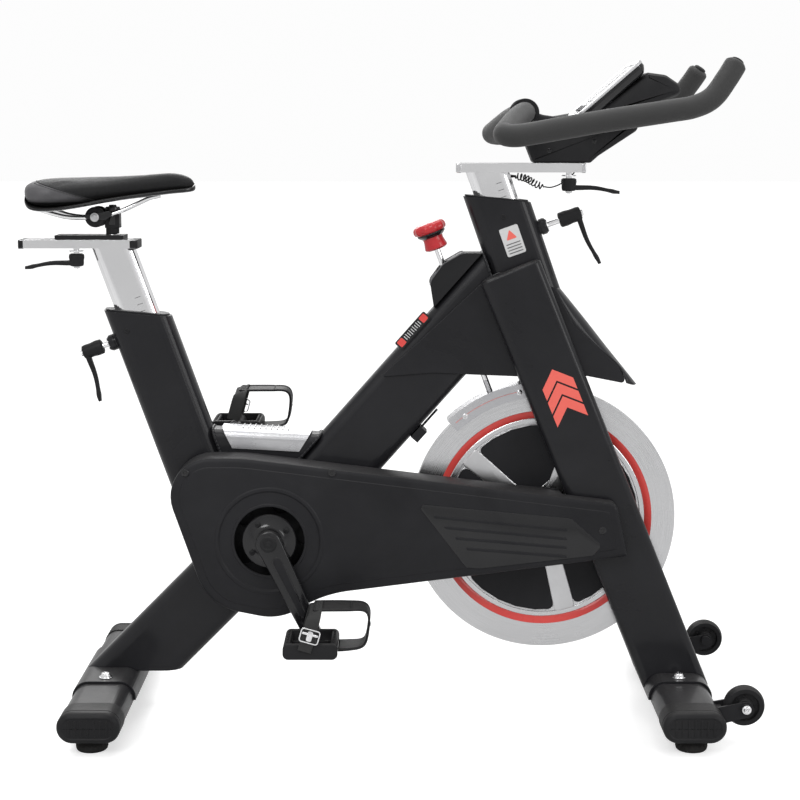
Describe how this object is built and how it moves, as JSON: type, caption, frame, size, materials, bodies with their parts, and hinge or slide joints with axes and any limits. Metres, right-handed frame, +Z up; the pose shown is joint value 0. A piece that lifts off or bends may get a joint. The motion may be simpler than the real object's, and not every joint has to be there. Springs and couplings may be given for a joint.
{
  "type": "indoor exercise bike",
  "caption": "Black upright indoor exercise bike with a belt-driven flywheel, push-knob magnetic brake, toe-cage pedals and adjustable saddle and handlebar.",
  "frame": {"origin": "on the floor under the middle of the bike, between the two stabilisers", "axes": "+X to the front of the bike, +Y to the rider's left, +Z up"},
  "size_m": [1.214, 0.522, 1.0939],
  "materials": {
    "frame_black": "satin",
    "chrome": "polished",
    "steel": "brushed",
    "flywheel_metal": "brushed",
    "black_plastic": "matte",
    "gloss_black": "gloss",
    "belt_rubber": "matte",
    "grip_rubber": "matte",
    "foot_rubber": "matte",
    "saddle_leather": "satin",
    "knob_red": "gloss",
    "cord_jacket": "satin"
  },
  "bodies": {
    "frame": {"seat_tube": "frame_black", "main_beam": "frame_black", "rear_leg": "frame_black", "cross_tube": "frame_black", "head_tube": "frame_black", "fork_blades": "frame_black", "side_rails": "frame_black", "bottom_bracket_shell": "frame_black", "bottom_bracket_bearings": "steel", "stabiliser_plates": "frame_black", "stabilisers": "frame_black", "stabiliser_end_caps": "black_plastic", "stabiliser_bolts": "chrome", "belt_guard_outer": "gloss_black", "belt_guard_inner": "black_plastic", "drive_belt": "belt_rubber", "step_plate": "chrome", "flywheel_shroud": "gloss_black", "brake_housing": "black_plastic", "speed_sensor": "black_plastic", "post_liners": "black_plastic", "axle_hardware": "steel", "wheel_brackets": "black_plastic", "levelling_feet": "foot_rubber"},
    "flywheel_assembly": {"flywheel": "flywheel_metal", "flywheel_inserts": "gloss_black", "flywheel_pulley": "steel"},
    "crank": {"crank_axle": "steel", "crank_pulley": "black_plastic", "crank_arm_right": "frame_black", "crank_arm_left": "frame_black", "pedal_axles": "steel"},
    "right_pedal": {"pedal_right": "black_plastic", "toe_cage_right": "black_plastic"},
    "left_pedal": {"pedal_left": "black_plastic", "toe_cage_left": "black_plastic"},
    "seat_mast": {"seat_post": "chrome"},
    "saddle_slider": {"saddle_carriage": "black_plastic"},
    "saddle": {"saddle_rails": "chrome", "saddle_base": "black_plastic", "saddle_cover": "saddle_leather"},
    "bar_mast": {"bar_post": "chrome"},
    "bar_slider": {"handlebar": "grip_rubber", "bar_cover": "black_plastic", "console": "gloss_black", "console_screen": "gloss_black", "cord_coil": "cord_jacket", "cord_lead": "cord_jacket"},
    "lever_seat_post": {"seat_post_lever": "black_plastic"},
    "lever_seat_slide": {"seat_slide_lever": "black_plastic"},
    "lever_bar_post": {"bar_post_lever": "black_plastic"},
    "lever_bar_slide": {"bar_slide_lever": "black_plastic"},
    "wheel_right": {"transport_wheel_right": "gloss_black"},
    "wheel_left": {"transport_wheel_left": "gloss_black"},
    "rod": {"brake_rod": "chrome"},
    "knob": {"brake_knob": "knob_red"},
    "arm": {"brake_arm": "steel"}
  },
  "joints": [
    {"name": "flywheel_spin", "type": "hinge", "parent": "frame", "child": "flywheel_assembly", "pos_m": [0.26, 0, 0.33], "axis": [0, 1, 0], "continuous": true},
    {"name": "crank_spin", "type": "hinge", "parent": "frame", "child": "crank", "pos_m": [-0.197, 0, 0.308], "axis": [0, 1, 0], "continuous": true},
    {"name": "right_pedal_spin", "type": "hinge", "parent": "crank", "child": "right_pedal", "pos_m": [-0.12515, -0.16, 0.15393], "axis": [0, 1, 0], "continuous": true},
    {"name": "left_pedal_spin", "type": "hinge", "parent": "crank", "child": "left_pedal", "pos_m": [-0.26885, 0.16, 0.46207], "axis": [0, 1, 0], "continuous": true},
    {"name": "seat_post_slide", "type": "slide", "parent": "frame", "child": "seat_mast", "axis": [-0.3338, 0, 0.9426], "range_m": [-0.05, 0.1]},
    {"name": "seat_slide", "type": "slide", "parent": "seat_mast", "child": "saddle_slider", "axis": [1, 0, 0], "range_m": [-0.05, 0.012]},
    {"name": "saddle_tilt", "type": "hinge", "parent": "saddle_slider", "child": "saddle", "pos_m": [-0.482, 0, 0.837], "axis": [0, 1, 0], "range_deg": [-6, 6]},
    {"name": "bar_post_slide", "type": "slide", "parent": "frame", "child": "bar_mast", "axis": [-0.3338, 0, 0.9426], "range_m": [-0.015, 0.1]},
    {"name": "bar_slide", "type": "slide", "parent": "bar_mast", "child": "bar_slider", "axis": [1, 0, 0], "range_m": [-0.04, 0.01], "deforming": ["cord_coil"]},
    {"name": "seat_post_lever_turn", "type": "hinge", "parent": "frame", "child": "lever_seat_post", "pos_m": [-0.4661, 0, 0.6258], "axis": [-0.9426, 0, -0.3338], "range_deg": [-75, 75]},
    {"name": "bar_post_lever_turn", "type": "hinge", "parent": "frame", "child": "lever_bar_post", "pos_m": [0.2611, 0, 0.8231], "axis": [0.9426, 0, 0.3338], "range_deg": [-75, 75]},
    {"name": "seat_slide_lever_turn", "type": "hinge", "parent": "saddle_slider", "child": "lever_seat_slide", "pos_m": [-0.518, 0, 0.78], "axis": [0, 0, -1], "range_deg": [-60, 60]},
    {"name": "bar_slide_lever_turn", "type": "hinge", "parent": "bar_slider", "child": "lever_bar_slide", "pos_m": [0.297, 0, 0.904], "axis": [0, 0, -1], "range_deg": [-60, 60]},
    {"name": "wheel_right_spin", "type": "hinge", "parent": "frame", "child": "wheel_right", "pos_m": [0.574, -0.19, 0.061], "axis": [0, 1, 0], "continuous": true},
    {"name": "wheel_left_spin", "type": "hinge", "parent": "frame", "child": "wheel_left", "pos_m": [0.574, 0.19, 0.061], "axis": [0, 1, 0], "continuous": true},
    {"name": "brake_push", "type": "slide", "parent": "frame", "child": "rod", "axis": [0.3502, 0, -0.9367], "range_m": [0, 0.0025], "stiffness_N_per_m": 2500, "springref_m": -0.005},
    {"name": "knob_turn", "type": "hinge", "parent": "rod", "child": "knob", "pos_m": [0.072, 0, 0.805], "axis": [-0.3502, 0, 0.9367], "continuous": true},
    {"name": "brake_arm_pivot", "type": "hinge", "parent": "frame", "child": "arm", "pos_m": [0.273, 0, 0.574], "axis": [0, -1, 0], "range_deg": [0, 1.5]}
  ],
  "couplings": [
    {"joint": "crank_spin", "follows": "flywheel_spin", "ratio": 0.27083},
    {"joint": "brake_arm_pivot", "follows": "brake_push", "rad_per_m": 9.5}
  ]
}
